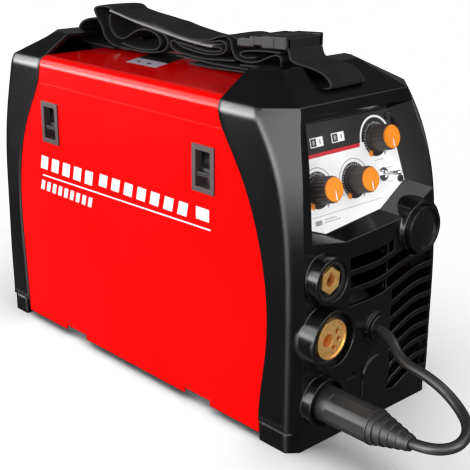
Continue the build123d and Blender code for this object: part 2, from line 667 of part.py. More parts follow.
# ---- wire bay ----
def make_spool_spindle():
    """The hub that the spool turns on, bolted to the divider."""
    hub = rod_x(SPOOL_Y, SPOOL_Z, SPOOL_BORE_R - RUNNING, (SPOOL_X[0], DIVIDER_X - 3))
    flange = rod_x(SPOOL_Y, SPOOL_Z, 32, (DIVIDER_X - 4, DIVIDER_X))
    thread = rod_x(SPOOL_Y, SPOOL_Z, 6.0, (SPOOL_X[0] - 8, SPOOL_X[0]))
    return hub + flange + thread - rod_x(SPOOL_Y, SPOOL_Z, 18, (SPOOL_X[0] + 3, DIVIDER_X - 8))


def make_spool_nut():
    nut = rod_x(SPOOL_Y, SPOOL_Z, 29, (SPOOL_X[0] - 6.5, SPOOL_X[0] - 0.4))
    for i in range(8):
        angle = radians(45 * i)
        y = SPOOL_Y + 30 * cos(angle)
        z = SPOOL_Z + 30 * sin(angle)
        nut -= rod_x(y, z, 4.0, (-90, -60))
    return nut - rod_x(SPOOL_Y, SPOOL_Z, 6.0 + RUNNING, (-90, -60))


def make_wire_spool():
    """A plastic spool with ribbed flanges."""
    spool = rod_x(SPOOL_Y, SPOOL_Z, 48, SPOOL_X)
    for x in (SPOOL_X[0], SPOOL_X[1] - FLANGE_T):
        flange = rod_x(SPOOL_Y, SPOOL_Z, SPOOL_R, (x, x + FLANGE_T))
        for i in range(6):
            angle = radians(60 * i)
            y = SPOOL_Y + 74 * cos(angle)
            z = SPOOL_Z + 74 * sin(angle)
            flange -= rod_x(y, z, 14, (x - 1, x + FLANGE_T + 1))
        spool += flange
    return spool - rod_x(SPOOL_Y, SPOOL_Z, SPOOL_BORE_R, (-100, 0))


def make_wire_winding():
    inner = (SPOOL_X[0] + FLANGE_T, SPOOL_X[1] - FLANGE_T)
    return rod_x(SPOOL_Y, SPOOL_Z, 86, inner) - rod_x(SPOOL_Y, SPOOL_Z, 48, (-100, 0))


def make_feeder_plate():
    """The feeder's moulded backplate, standing off the divider."""
    plate = block((-45, -41), (-158, -70), (54, 140))
    legs = block((-41, DIVIDER_X), (-158, -150.5), (54, 140)) + block((-41, DIVIDER_X), (-78, -70), (54, 140))
    plate += legs + rod_x(ARM_PIVOT_Y, ARM_PIVOT_Z, 4.0, (WIRE_X - 9, -45))
    return plate - rod_x(ROLL_Y, WIRE_Z - WIRE_GAP / 2 - DRIVE_R, 8.0, (-60, -40))


def make_feeder_motor():
    """Gear motor: the gearbox left of the divider, the can through it."""
    z = WIRE_Z - WIRE_GAP / 2 - DRIVE_R
    box = block((-41, -9), (ROLL_Y - 24, ROLL_Y + 24), (z - 22, z + 22))
    can = rod_x(ROLL_Y, z, 20.5, (-9, 46))
    nose = rod_x(ROLL_Y, z, 7.5, (-46, -41))
    return box + can + nose - rod_x(ROLL_Y, z, 4.0 + RUNNING, (-60, -20))


def make_drive_roll():
    """The grooved roll and its shaft."""
    z = WIRE_Z - WIRE_GAP / 2 - DRIVE_R
    roll = rod_x(ROLL_Y, z, DRIVE_R, (WIRE_X - 6, WIRE_X + 6))
    roll += rod_x(ROLL_Y, z, 4.0, (WIRE_X - 11, -22)) + rod_x(ROLL_Y, z, 8.0, (WIRE_X - 11, WIRE_X - 6))
    return roll


def make_pressure_roll():
    z = WIRE_Z + WIRE_GAP / 2 + PRESS_R
    roll = rod_x(ROLL_Y, z, PRESS_R, (WIRE_X - 5, WIRE_X + 5))
    return roll - rod_x(ROLL_Y, z, 3.0 + RUNNING, (-80, -30))


def make_pressure_arm():
    """A forked arm that holds the pressure roll down on the wire."""
    z = WIRE_Z + WIRE_GAP / 2 + PRESS_R
    top = z + PRESS_R + 5
    arm = block((WIRE_X - 9, WIRE_X + 9), (-148, ARM_PIVOT_Y), (top - 3, top + 3))
    for x in (WIRE_X - 9, WIRE_X + 5.5):
        arm += block((x, x + 3.5), (ROLL_Y - 6, ROLL_Y + 6), (z - 5, top))
        arm += block((x, x + 3.5), (ARM_PIVOT_Y - 6, ARM_PIVOT_Y + 7), (ARM_PIVOT_Z - 6, top + 3))
    arm += rod_x(ROLL_Y, z, 3.0, (WIRE_X - 9, WIRE_X + 9))
    arm -= rod_x(ARM_PIVOT_Y, ARM_PIVOT_Z, 4.0 + RUNNING, (-80, -30))
    return arm - rod_z(WIRE_X, -139, 3.0 + RUNNING, (100, 150))


def make_tension_knob():
    top = WIRE_Z + WIRE_GAP / 2 + 2 * PRESS_R + 8
    knob = rod_z(WIRE_X, -139, 8.5, (top + 0.4, top + 26)) + rod_z(WIRE_X, -139, 3.0, (top - 9, top + 0.4))
    for i in range(8):
        angle = radians(45 * i)
        knob -= rod_z(WIRE_X + 9.4 * cos(angle), -139 + 9.4 * sin(angle), 2.2, (top + 4, top + 30))
    return knob


def make_wire_guides():
    """Brass inlet and outlet tubes on the wire's line, in a moulded saddle each."""
    guides = []
    for low, high in ((-97, -72), (-157, -133)):
        tube = rod_y(WIRE_X, WIRE_Z, 2.6, (low, high)) - rod_y(WIRE_X, WIRE_Z, 1.1, (low - 1, high + 1))
        saddle = block((WIRE_X + 2.0, -45), (low + 6, high - 6), (WIRE_Z - 5, WIRE_Z + 5))
        guides.append(tube + (saddle - rod_y(WIRE_X, WIRE_Z, 2.6, (low, high))))
    return guides


# ---- power electronics ----
def make_power_board():
    edge = DIVIDER_X + DIVIDER_T
    return block((edge, 76), (-120, 120), (200, 201.6))


def make_heatsinks():
    """Two finned extrusions side by side in the fan's wind."""
    sinks = []
    for x in (DIVIDER_X + DIVIDER_T, 38):
        sink = block((x, x + 32), (20, 140), (150, 156))
        for i in range(7):
            sink += block((x + 5 * i, x + 5 * i + 2), (20, 140), (110, 150))
        sinks.append(sink)
    return sinks


def make_transformer():
    """Ferrite core with its winding."""
    core = block((12, 68), (-60, 0), (FLOOR_GAP + 1.5, 62)) - block((24, 56), (-70, 10), (20, 50))
    core += block((34, 46), (-60, 0), (20, 50))
    return core


def make_transformer_winding():
    coil = block((26, 54), (-66, 6), (21, 49))
    return coil - block((34, 46), (-70, 10), (20, 50))


def make_output_choke():
    ring = rod_x(-112, 42, 32, (52, 76)) - rod_x(-112, 42, 14, (40, 80))
    return ring + block((50, 78), (-130, -94), (FLOOR_GAP + 1.5, 14))


def make_capacitors():
    return [rod_z(22 + 34 * i, y, 14, (160, 200)) for i in range(2) for y in (-90, -52, -14)]


def make_fan_frame():
    half = FAN_SIZE / 2
    frame = block((FAN_X - half, FAN_X + half), FAN_Y, (FAN_Z - half, FAN_Z + half))
    frame -= rod_y(FAN_X, FAN_Z, half - 2, (FAN_Y[0] - 1, FAN_Y[1] + 1))
    hub = rod_y(FAN_X, FAN_Z, 16, (FAN_Y[1] - 5, FAN_Y[1] - 1))
    for i in range(4):
        spoke = block((0, half - 1), (FAN_Y[1] - 4, FAN_Y[1] - 1), (-1.5, 1.5))
        hub += Pos(FAN_X, 0, FAN_Z) * Rot(0, 90 * i + 45, 0) * spoke
    return frame + hub - rod_y(FAN_X, FAN_Z, 2.0 + RUNNING, (150, 200))


def make_fan_rotor():
    rotor = rod_y(FAN_X, FAN_Z, 16, (FAN_Y[0] + 2, FAN_Y[1] - 6))
    for i in range(7):
        blade = Rot(0, 0, 35) * Box(2, 16, 22)
        rotor += Pos(FAN_X, FAN_Y[0] + 10, FAN_Z) * Rot(0, 360 * i / 7, 0) * Pos(0, 0, 25) * blade
    return rotor + rod_y(FAN_X, FAN_Z, 2.0, (FAN_Y[1] - 6, FAN_Y[1] - 2))


# ---- rear fittings ----
def make_rocker_frame():
    flange = block((-65, -35), (190, 192.5), (197, 221)) - block((-60, -40), (150, 200), (201, 217))
    body = block((-62, -38), (166, 190), (199, 219)) - block((-60, -40), (169, 200), (201, 217))
    return flange + body - rod_x(ROCKER_PIN[0], ROCKER_PIN[1], 1.2 + RUNNING, (-61.6, -38.4))


def make_rocker():
    """The mains rocker, with trunnions that turn in its frame."""
    points = [(191, 202.6), (196.5, 204), (192.5, 209), (191, 216.2), (178, 214.6), (178, 203.4)]
    return side_outline(points, (-59.6, -40.4)) + rod_x(ROCKER_PIN[0], ROCKER_PIN[1], 1.2, (-61.5, -38.5))


def make_gas_inlet():
    """Brass hose barb for shielding gas."""
    barb = rod_y(-50, 60, 6.4, (180, 196)) + rod_y(-50, 60, 9.0, (196, 200)) + rod_y(-50, 60, 2.8, (200, 208))
    for i in range(2):
        barb += cone_y(-50, 60, 3.8, 2.8, (201 + 3.4 * i, 204 + 3.4 * i))
    return barb - rod_y(-50, 60, 1.6, (170, 220))


def make_mains_gland():
    """Cable gland with an open bore for a mains cord."""
    gland = rod_y(-50, 160, 9.9, (180, 199)) + rod_y(-50, 160, 13.0, (194, 199))
    gland += cone_y(-50, 160, 11.5, 7.5, (199, REAR_END))
    return gland - rod_y(-50, 160, 5.0, (170, 220))


# ---- carrying strap ----
def strap_band(outline):
    """A closed (y, z) outline as wide as the webbing."""
    return side_outline(outline, (-STRAP_HALF, STRAP_HALF))


def make_carry_strap():
    """The webbing: a loop over each crown and through its slot, and the folds that lie on the cover."""
    front = strap_band([
        (-105, 285.8), (-112, 286.2), (-118.5, 286.4), (-122, 281.5), (-140, 280), (-154, 277), (-163.5, 271),
        (-165, 267.5), (-162, 264.2), (-152, 263), (-105, 263), (-105, 265), (-152, 265), (-160, 266),
        (-162.5, 268), (-161.5, 270), (-153, 275), (-140, 278.2), (-120, 278.4), (-112, 280), (-105, 280)])
    rear = strap_band([
        (110, 294.5), (118, 297.3), (130, 295), (142, 290), (152, 281), (154, 272), (150, 265), (134, 263),
        (100, 263), (100, 265.5), (134, 265.5), (147, 267), (150.5, 272), (149, 279), (141, 287),
        (130, 291.5), (110, 291.5)])
    folds = strap_band([
        (108, 261.4), (-111.4, 261.4), (-111.4, 281), (-46, 281), (-38, 279.2), (5, 281.2), (47, 286.2),
        (99, 294.2), (117, 294.8), (117, 282)])
    return folds + front + rear


def make_shoulder_pad():
    """The stiff pad on top of the folds, with the layer of webbing that covers it."""
    return strap_band([
        (-34, 279.8), (5, 281.8), (47, 286.8), (99, 294.8), (109, 295.2), (109, 300), (101, 300.3),
        (97, 296.5), (77, 293.6), (52, 292.8), (38, 292.4), (10, 288), (-34, 286.5)])


def buckle_half(outline):
    """A closed (y, z) outline as wide as the buckle."""
    return side_outline(outline, (-BUCKLE_HALF, BUCKLE_HALF))


def make_buckle_socket():
    """Female half of the side-release buckle."""
    return buckle_half([(-118.5, 288), (-118, 295.5), (-106, 299), (-90, 298), (-90, 287), (-104, 286.8)])


def make_buckle_tongue():
    return buckle_half([(-89.7, 297), (-76, 296.5), (-64, 293.5), (-62, 290), (-64, 286.5), (-76, 286),
                        (-89.7, 287)])


# ---- all nodes ----
def main():
    os.makedirs("parts", exist_ok=True)
    zone = sheet_zone(GAP)
    save("front_bezel", make_front_bezel())
    save("rear_bezel", make_rear_bezel())
    save("feet", make_foot(FRONT_SECTIONS, FRONT_CORE_Y, (-230, -160.5)),
         make_foot(REAR_SECTIONS, REAR_CORE_Y, (170, 230)))
    save("base_tray", make_base_tray())
    save("main_cover", make_main_cover(zone))
    save("side_door", make_side_door(zone))
    save("door_hinge_leaves", *make_door_hinge_leaves())
    save("base_hinges", *make_base_hinge_leaves(), *make_hinge_pins())
    save("latch_frames", *make_latch_frames())
    save("latch_slider_front", make_latch_slider(LATCH_Y[0]))
    save("latch_slider_rear", make_latch_slider(LATCH_Y[1]))
    save("centre_divider", make_centre_divider())
    save("control_overlay", make_control_overlay())
    save("indicator_windows", *make_indicator_windows())
    for name, spot in KNOB_SPOTS.items():
        save(name + "_knob", make_knob(spot))
        save(name + "_knob_cap", make_knob_cap(spot))
    save("potentiometers", *make_potentiometers())
    save("control_board", make_control_board())
    save("toggle_body", make_toggle_body())
    save("toggle_lever", make_toggle_lever())
    save("screws", *make_panel_screws(), *make_cover_screws())
    save("badge", make_badge())
    save("socket_housings", make_upper_socket(), make_torch_housing(), make_lower_socket())
    save("socket_contacts", make_upper_contact(), make_lower_contact())
    save("torch_connector", make_torch_connector())
    save("cable_grommet", make_grommet())
    save("polarity_cable", make_polarity_cable())
    save("plug_sleeve", make_plug_sleeve())
    save("plug_pin", make_plug_pin())
    save("plug_boot", make_plug_boot())
    save("spool_spindle", make_spool_spindle())
    save("spool_nut", make_spool_nut())
    save("wire_spool", make_wire_spool())
    save("wire_winding", make_wire_winding())
    save("feeder_plate", make_feeder_plate())
    save("feeder_motor", make_feeder_motor())
    save("drive_roll", make_drive_roll())
    save("pressure_roll", make_pressure_roll())
    save("pressure_arm", make_pressure_arm())
    save("tension_knob", make_tension_knob())
    save("wire_guides", *make_wire_guides())
    save("power_board", make_power_board())
    save("heatsinks", *make_heatsinks())
    save("transformer", make_transformer(), make_transformer_winding())
    save("output_choke", make_output_choke())
    save("capacitors", *make_capacitors())
    save("fan_frame", make_fan_frame())
    save("fan_rotor", make_fan_rotor())
    save("rear_rocker_frame", make_rocker_frame())
    save("rear_rocker", make_rocker())
    save("gas_inlet", make_gas_inlet())
    save("mains_gland", make_mains_gland())
    save("carry_strap", make_carry_strap())
    save("shoulder_pad", make_shoulder_pad())
    save("buckle_socket", make_buckle_socket())
    save("buckle_tongue", make_buckle_tongue())


main()
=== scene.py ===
import json
import math

import bmesh
import bpy
from mathutils import Matrix, Vector


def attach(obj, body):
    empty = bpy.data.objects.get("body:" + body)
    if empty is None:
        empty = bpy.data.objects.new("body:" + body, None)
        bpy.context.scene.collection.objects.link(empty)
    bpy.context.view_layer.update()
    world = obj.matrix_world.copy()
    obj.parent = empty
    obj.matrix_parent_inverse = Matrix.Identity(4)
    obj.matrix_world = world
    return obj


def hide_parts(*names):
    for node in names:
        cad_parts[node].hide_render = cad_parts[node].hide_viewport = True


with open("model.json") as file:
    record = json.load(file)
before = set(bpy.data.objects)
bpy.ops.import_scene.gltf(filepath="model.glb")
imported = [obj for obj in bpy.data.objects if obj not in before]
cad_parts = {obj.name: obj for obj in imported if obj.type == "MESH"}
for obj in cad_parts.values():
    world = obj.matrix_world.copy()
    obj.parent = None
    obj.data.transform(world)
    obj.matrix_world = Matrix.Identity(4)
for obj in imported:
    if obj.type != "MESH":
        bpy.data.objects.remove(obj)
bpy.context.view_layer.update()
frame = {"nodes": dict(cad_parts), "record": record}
NODES = frame["nodes"]
SCENE = bpy.context.scene
SCENE.view_settings.view_transform = "Standard"
MM = 0.001


# ---------------------------------------------------------------- helpers
def vec(x, y, z):
    """A point given in millimetres."""
    return Vector((x * MM, y * MM, z * MM))


def new_object(name, mesh, body, material=None):
    piece = bpy.data.objects.new(name, mesh)
    SCENE.collection.objects.link(piece)
    if material is not None:
        mesh.materials.append(material)
    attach(piece, body)
    return piece


def mesh_from(name, points, faces, smooth=False):
    mesh = bpy.data.meshes.new(name)
    mesh.from_pydata([tuple(p) for p in points], [], faces)
    mesh.validate()
    for face in mesh.polygons:
        face.use_smooth = smooth
    return mesh


# ---------------------------------------------------------------- camera
CAMERA_AT = (-575.0, -654.15, 408.66)
CAMERA_AZIMUTH = -43.194
CAMERA_ELEVATION = 19.146
CAMERA_ROLL = 0.410
FOCAL_SHARE = 1024.1 / 470       # focal length over the frame's width


def make_camera():
    azimuth, elevation, roll = (math.radians(a) for a in (CAMERA_AZIMUTH, CAMERA_ELEVATION, CAMERA_ROLL))
    back = Vector((math.sin(azimuth) * math.cos(elevation), -math.cos(azimuth) * math.cos(elevation),
                   math.sin(elevation)))
    right = (-back).cross(Vector((0, 0, 1))).normalized()
    up = right.cross(-back)
    tilted_right = right * math.cos(roll) + up * math.sin(roll)
    tilted_up = up * math.cos(roll) - right * math.sin(roll)
    data = bpy.data.cameras.new("camera")
    data.sensor_width = 36.0
    data.lens = 36.0 * FOCAL_SHARE
    data.clip_start = 0.05
    camera = bpy.data.objects.new("camera", data)
    turn = Matrix((tilted_right, tilted_up, back)).transposed()
    camera.matrix_world = Matrix.Translation(vec(*CAMERA_AT)) @ turn.to_4x4()
    SCENE.collection.objects.link(camera)
    SCENE.camera = camera


make_camera()


# ---------------------------------------------------------------- materials
CASE_MIDDLE = (0, 0, 0.13)                # metres; faces turned towards this point take the cover's painted inner shade
WEBBING_EDGE = (0.0176, 0.0186)           # metres from the middle, where the lighter edge band begins


def shader(name, colour, roughness, metallic=0.0, **sockets):
    """A principled material; returns its node tree and shader node for the detail to be wired in."""
    material = bpy.data.materials.new(name)
    material.use_nodes = True
    material.diffuse_color = (*colour, 1)
    tree = material.node_tree
    surface = tree.nodes["Principled BSDF"]
    surface.inputs["Base Color"].default_value = (*colour, 1)
    surface.inputs["Roughness"].default_value = roughness
    surface.inputs["Metallic"].default_value = metallic
    for key, value in sockets.items():
        surface.inputs[key.replace("_", " ")].default_value = value
    return material, tree, surface


def add_node(tree, kind, **values):
    node = tree.nodes.new(kind)
    for key, value in values.items():
        if key in node.inputs:
            node.inputs[key].default_value = value
        else:
            setattr(node, key, value)
    return node


def object_place(tree, scale=(1, 1, 1)):
    """Object coordinates, stretched along the axes."""
    place = add_node(tree, "ShaderNodeTexCoord")
    mapping = add_node(tree, "ShaderNodeMapping")
    mapping.inputs["Scale"].default_value = scale
    tree.links.new(place.outputs["Object"], mapping.inputs["Vector"])
    return mapping.outputs["Vector"]


def noise(tree, where, scale, detail=3.0, rough=0.5):
    node = add_node(tree, "ShaderNodeTexNoise")
    node.inputs["Scale"].default_value = scale
    node.inputs["Detail"].default_value = detail
    node.inputs["Roughness"].default_value = rough
    tree.links.new(where, node.inputs["Vector"])
    return node.outputs["Fac"]


def ramp(tree, value, low, high, at=(0.3, 0.7)):
    """Maps a value to a colour between low and high."""
    node = add_node(tree, "ShaderNodeValToRGB")
    node.color_ramp.elements[0].position = at[0]
    node.color_ramp.elements[1].position = at[1]
    node.color_ramp.elements[0].color = (*low, 1)
    node.color_ramp.elements[1].color = (*high, 1)
    tree.links.new(value, node.inputs["Fac"])
    return node.outputs["Color"]


def span(tree, value, low, high, from_low=0.3, from_high=0.7):
    node = add_node(tree, "ShaderNodeMapRange")
    for key, number in (("From Min", from_low), ("From Max", from_high), ("To Min", low), ("To Max", high)):
        node.inputs[key].default_value = number
    tree.links.new(value, node.inputs["Value"])
    return node.outputs["Result"]


def bump(tree, surface, height, distance, strength=1.0, edge=0.0):
    """Bump from a height, over edges rounded by the given radius."""
    node = add_node(tree, "ShaderNodeBump")
    node.inputs["Distance"].default_value = distance
    node.inputs["Strength"].default_value = strength
    tree.links.new(height, node.inputs["Height"])
    if edge > 0:
        rounded = add_node(tree, "ShaderNodeBevel", samples=4)
        rounded.inputs["Radius"].default_value = edge
        tree.links.new(rounded.outputs["Normal"], node.inputs["Normal"])
    tree.links.new(node.outputs["Normal"], surface.inputs["Normal"])


def moulded(name, colour, roughness, grain=900.0, depth=0.00004, edge=0.0007, spread=0.08, **sockets):
    """Moulded plastic: fine grain, slightly uneven gloss and colour, soft edges."""
    material, tree, surface = shader(name, colour, roughness, **sockets)
    where = object_place(tree)
    cloudy = noise(tree, where, 18.0, 4.0)
    lighter = tuple(c * 1.18 + 0.002 for c in colour)
    darker = tuple(c * 0.86 for c in colour)
    tree.links.new(ramp(tree, cloudy, darker, lighter), surface.inputs["Base Color"])
    tree.links.new(span(tree, cloudy, max(roughness - spread / 2, 0.02), roughness + spread / 2),
                   surface.inputs["Roughness"])
    bump(tree, surface, noise(tree, where, grain, 2.0), depth, edge=edge)
    return material


def bezel_black(name, colour, roughness, edge=0.0011, corner=0.0055, corner_from=0.0805):
    """Glossy moulding whose upright corners, far out to the sides, are rounded more than its other edges."""
    material, tree, surface = shader(name, colour, roughness)
    where = object_place(tree)
    cloudy = noise(tree, where, 14.0, 4.0)
    tree.links.new(ramp(tree, cloudy, tuple(c * 0.8 for c in colour), tuple(c * 1.25 for c in colour)),
                   surface.inputs["Base Color"])
    tree.links.new(span(tree, cloudy, roughness - 0.03, roughness + 0.04), surface.inputs["Roughness"])
    split = add_node(tree, "ShaderNodeSeparateXYZ")
    tree.links.new(where, split.inputs["Vector"])
    aside = add_node(tree, "ShaderNodeMath", operation="ABSOLUTE")
    tree.links.new(split.outputs["X"], aside.inputs[0])
    rounded = add_node(tree, "ShaderNodeBevel", samples=6)
    tree.links.new(span(tree, aside.outputs["Value"], edge, corner, corner_from - 0.001, corner_from),
                   rounded.inputs["Radius"])
    grain = add_node(tree, "ShaderNodeBump")
    grain.inputs["Distance"].default_value = 0.000008
    tree.links.new(noise(tree, where, 1400.0, 2.0), grain.inputs["Height"])
    tree.links.new(rounded.outputs["Normal"], grain.inputs["Normal"])
    tree.links.new(grain.outputs["Normal"], surface.inputs["Normal"])
    return material


def metal(name, colour, roughness, stretch=(1, 1, 1), grain=300.0, depth=0.00002, edge=0.0004, metallic=1.0):
    """Machined or plated metal: stretched grain, uneven polish."""
    material, tree, surface = shader(name, colour, roughness, metallic=metallic)
    where = object_place(tree, stretch)
    lines = noise(tree, where, grain, 4.0, 0.6)
    cloudy = noise(tree, object_place(tree), 45.0, 3.0)
    darker = tuple(c * 0.85 for c in colour)
    lighter = tuple(min(c * 1.1, 1) for c in colour)
    tree.links.new(ramp(tree, cloudy, darker, lighter), surface.inputs["Base Color"])
    tree.links.new(span(tree, lines, roughness * 0.75, roughness * 1.3), surface.inputs["Roughness"])
    bump(tree, surface, lines, depth, edge=edge)
    return material


def paint(name, colour, roughness, painted_inner_shade=None):
    """Powder coat: faint orange peel under a gloss; painted shade darkens the faces that look inwards,
    standing in for the shade inside the case.
    """
    material, tree, surface = shader(name, colour, roughness, Specular_IOR_Level=0.35)
    surface.inputs["Specular Tint"].default_value = (1.0, 0.16, 0.14, 1)
    where = object_place(tree)
    cloudy = noise(tree, where, 9.0, 3.0)
    tint = ramp(tree, cloudy, tuple(c * 0.97 for c in colour), colour)
    # Painted shade: faces turned towards the case's middle get a near-black colour in place of the red, for
    # the shade inside the case.
    if painted_inner_shade:
        geometry = add_node(tree, "ShaderNodeNewGeometry")
        outward = add_node(tree, "ShaderNodeVectorMath", operation="SUBTRACT")
        outward.inputs[1].default_value = CASE_MIDDLE
        tree.links.new(geometry.outputs["Position"], outward.inputs[0])
        facing = add_node(tree, "ShaderNodeVectorMath", operation="DOT_PRODUCT")
        tree.links.new(outward.outputs["Vector"], facing.inputs[0])
        tree.links.new(geometry.outputs["True Normal"], facing.inputs[1])
        outside = add_node(tree, "ShaderNodeMath", operation="GREATER_THAN")
        outside.inputs[1].default_value = 0.0
        tree.links.new(facing.outputs["Value"], outside.inputs[0])
        sides = add_node(tree, "ShaderNodeMix", data_type="RGBA")
        sides.inputs["A"].default_value = (*painted_inner_shade, 1)
        tree.links.new(outside.outputs["Value"], sides.inputs["Factor"])
        tree.links.new(tint, sides.inputs["B"])
        tint = sides.outputs["Result"]
    tree.links.new(tint, surface.inputs["Base Color"])
    tree.links.new(span(tree, cloudy, roughness - 0.03, roughness + 0.03), surface.inputs["Roughness"])
    bump(tree, surface, noise(tree, where, 420.0, 2.0), 0.000012, edge=0.0005)
    return material


def woven(name, colour, pitch, depth, edge_colour, roughness=0.85, sheen=0.4):
    """Webbing: ribs across the width, yarns along the length, lighter at its edges."""
    material, tree, surface = shader(name, colour, roughness, Sheen_Weight=sheen, Sheen_Roughness=0.5,
                                     Specular_IOR_Level=0.12)
    coordinates = add_node(tree, "ShaderNodeUVMap")
    coordinates.uv_map = "UVMap"
    ribs = []
    for direction in "XY":
        wave = add_node(tree, "ShaderNodeTexWave", bands_direction=direction)
        wave.inputs["Scale"].default_value = math.pi / 10 / pitch
        wave.inputs["Distortion"].default_value = 0.6
        wave.inputs["Detail"].default_value = 1.0
        tree.links.new(coordinates.outputs["UV"], wave.inputs["Vector"])
        ribs.append(wave.outputs["Fac"])
    weave = add_node(tree, "ShaderNodeMath", operation="MULTIPLY")
    tree.links.new(ribs[0], weave.inputs[0])
    tree.links.new(ribs[1], weave.inputs[1])
    wear = noise(tree, object_place(tree), 60.0, 4.0)
    tint = add_node(tree, "ShaderNodeMix", data_type="RGBA", blend_type="MULTIPLY")
    tint.inputs["Factor"].default_value = 0.55
    darker = tuple(c * 0.7 for c in colour)
    lighter = tuple(c * 1.5 for c in colour)
    tree.links.new(ramp(tree, wear, darker, lighter), tint.inputs["A"])
    # Painted shade: the colour falls to 45% where the weave is low, between the yarns, in the same places
    # the bump sinks.
    shade = ramp(tree, weave.outputs["Value"], (0.45, 0.45, 0.45), (1, 1, 1), (0.0, 0.5))
    tree.links.new(shade, tint.inputs["B"])
    split = add_node(tree, "ShaderNodeSeparateXYZ")
    tree.links.new(coordinates.outputs["UV"], split.inputs["Vector"])
    aside = add_node(tree, "ShaderNodeMath", operation="ABSOLUTE")
    tree.links.new(split.outputs["Y"], aside.inputs[0])
    # A lighter colour in a band along both edges of the webbing.
    edge_band = add_node(tree, "ShaderNodeMix", data_type="RGBA")
    tree.links.new(span(tree, aside.outputs["Value"], 0.0, 1.0, *WEBBING_EDGE), edge_band.inputs["Factor"])
    tree.links.new(tint.outputs["Result"], edge_band.inputs["A"])
    edge_band.inputs["B"].default_value = (*edge_colour, 1)
    tree.links.new(edge_band.outputs["Result"], surface.inputs["Base Color"])
    bump(tree, surface, weave.outputs["Value"], depth)
    return material


GLOSS_BLACK = moulded("gloss_black", (0.0028, 0.0028, 0.0033), 0.20, grain=1400.0, depth=0.000008,
                      edge=0.0012)
MATTE_BLACK = moulded("matte_black", (0.010, 0.010, 0.011), 0.45)
LATCH_GREY = moulded("latch_grey", (0.055, 0.036, 0.038), 0.38, edge=0.0005)
LATCH_BLACK = moulded("latch_black", (0.004, 0.004, 0.0045), 0.35, edge=0.0004)
KNOB_GREY = moulded("knob_grey", (0.045, 0.036, 0.034), 0.42, edge=0.0003)
ORANGE = moulded("orange_plastic", (0.92, 0.27, 0.008), 0.38, edge=0.0004)
RUBBER = moulded("grey_rubber", (0.017, 0.017, 0.018), 0.42, grain=1100.0, depth=0.00005)
SHEATH = moulded("cable_sheath", (0.022, 0.022, 0.023), 0.34, grain=700.0, depth=0.00003, edge=0.0)
BEZEL_BLACK = bezel_black("bezel_black", (0.0028, 0.0028, 0.0033), 0.18)
BADGE = moulded("badge_gloss", (0.004, 0.004, 0.005), 0.14, depth=0.000004)
RED = paint("red_powder_coat", (0.95, 0.0008, 0.0006), 0.17)
# The cover's inward faces get painted shade instead of their red.
RED_INNER_SHADED = paint("red_powder_coat_inner_shaded", (0.95, 0.0008, 0.0006), 0.17, painted_inner_shade=(0.006, 0.005, 0.005))
ZINC = metal("zinc_steel", (0.62, 0.62, 0.60), 0.34)
CHROME = metal("chrome_plate", (0.80, 0.80, 0.81), 0.10)
BRASS = metal("brass_turned", (0.93, 0.52, 0.17), 0.30, stretch=(1, 6, 1), depth=0.000004, metallic=0.7)
ALUMINIUM = metal("aluminium_extruded", (0.72, 0.72, 0.73), 0.38, stretch=(1, 0.05, 1))
COPPER = metal("copper_wire_winding", (0.82, 0.42, 0.25), 0.30, stretch=(30, 1, 1), grain=60.0, depth=0.0002)
PRINT_WHITE = moulded("print_white", (0.90, 0.90, 0.91), 0.42, depth=0.000005, edge=0.0)
PRINT_BLACK = moulded("print_black", (0.012, 0.012, 0.013), 0.35, depth=0.000005, edge=0.0)
PRINT_RED = moulded("print_red", (0.55, 0.012, 0.02), 0.40, depth=0.000005, edge=0.0)
SCREW_BLACK = moulded("screw_black", (0.02, 0.02, 0.021), 0.30, edge=0.0003)
LABEL_PALE = moulded("label_pale", (0.62, 0.55, 0.66), 0.35, depth=0.000005, edge=0.0)
PRINT_GREY = moulded("print_grey", (0.30, 0.30, 0.31), 0.45, depth=0.000005, edge=0.0)
WINDOW_GLASS = moulded("window_plastic", (0.55, 0.55, 0.57), 0.18, depth=0.000004, edge=0.0003)
BOARD = moulded("circuit_board", (0.012, 0.10, 0.035), 0.40, grain=200.0)
CORE = moulded("core_ferrite", (0.05, 0.05, 0.055), 0.55, grain=350.0, depth=0.0001)
CAN = moulded("capacitor_sleeve", (0.01, 0.012, 0.03), 0.30)
SPOOL = moulded("spool_plastic", (0.025, 0.025, 0.027), 0.45)
WEBBING = woven("webbing_black", (0.0120, 0.0120, 0.0124), 0.0022, 0.0003, (0.038, 0.038, 0.040), sheen=0.0)
PAD = woven("pad_grey", (0.16, 0.16, 0.165), 0.0009, 0.00012, (0.26, 0.26, 0.27), sheen=0.2)
BUCKLE = moulded("buckle_plastic", (0.008, 0.008, 0.009), 0.40, edge=0.0006, Specular_IOR_Level=0.25)

FINISH = {
    "black_gloss": GLOSS_BLACK, "black_matte": MATTE_BLACK, "red_paint": RED, "zinc_steel": ZINC,
    "latch_plastic": LATCH_GREY, "overlay_print": PRINT_WHITE, "window_plastic": WINDOW_GLASS,
    "knob_plastic": KNOB_GREY, "orange_plastic": ORANGE, "chrome_metal": CHROME, "brass_metal": BRASS,
    "badge_plastic": BADGE, "grey_rubber": RUBBER, "webbing_fabric": WEBBING, "pad_fabric": PAD,
    "buckle_plastic": BUCKLE, "circuit_board": BOARD, "aluminium_metal": ALUMINIUM, "core_ferrite": CORE,
    "capacitor_can": CAN, "copper_wire": COPPER, "spool_plastic": SPOOL,
}

NODE_FINISH = {"main_cover": RED_INNER_SHADED, "latch_slider_front": LATCH_BLACK, "latch_slider_rear": LATCH_BLACK,
               "cable_grommet": GLOSS_BLACK, "screws": SCREW_BLACK, "front_bezel": BEZEL_BLACK,
               "rear_bezel": BEZEL_BLACK, "feet": BEZEL_BLACK}


def dress_nodes():
    """Gives every CAD node the material of its slot, or a finish of its own."""
    for part in frame["record"]["subparts"]:
        node = NODES[part["node"]]
        node.data.materials.clear()
        node.data.materials.append(NODE_FINISH.get(part["node"], FINISH[part["material_slot"]]))


dress_nodes()


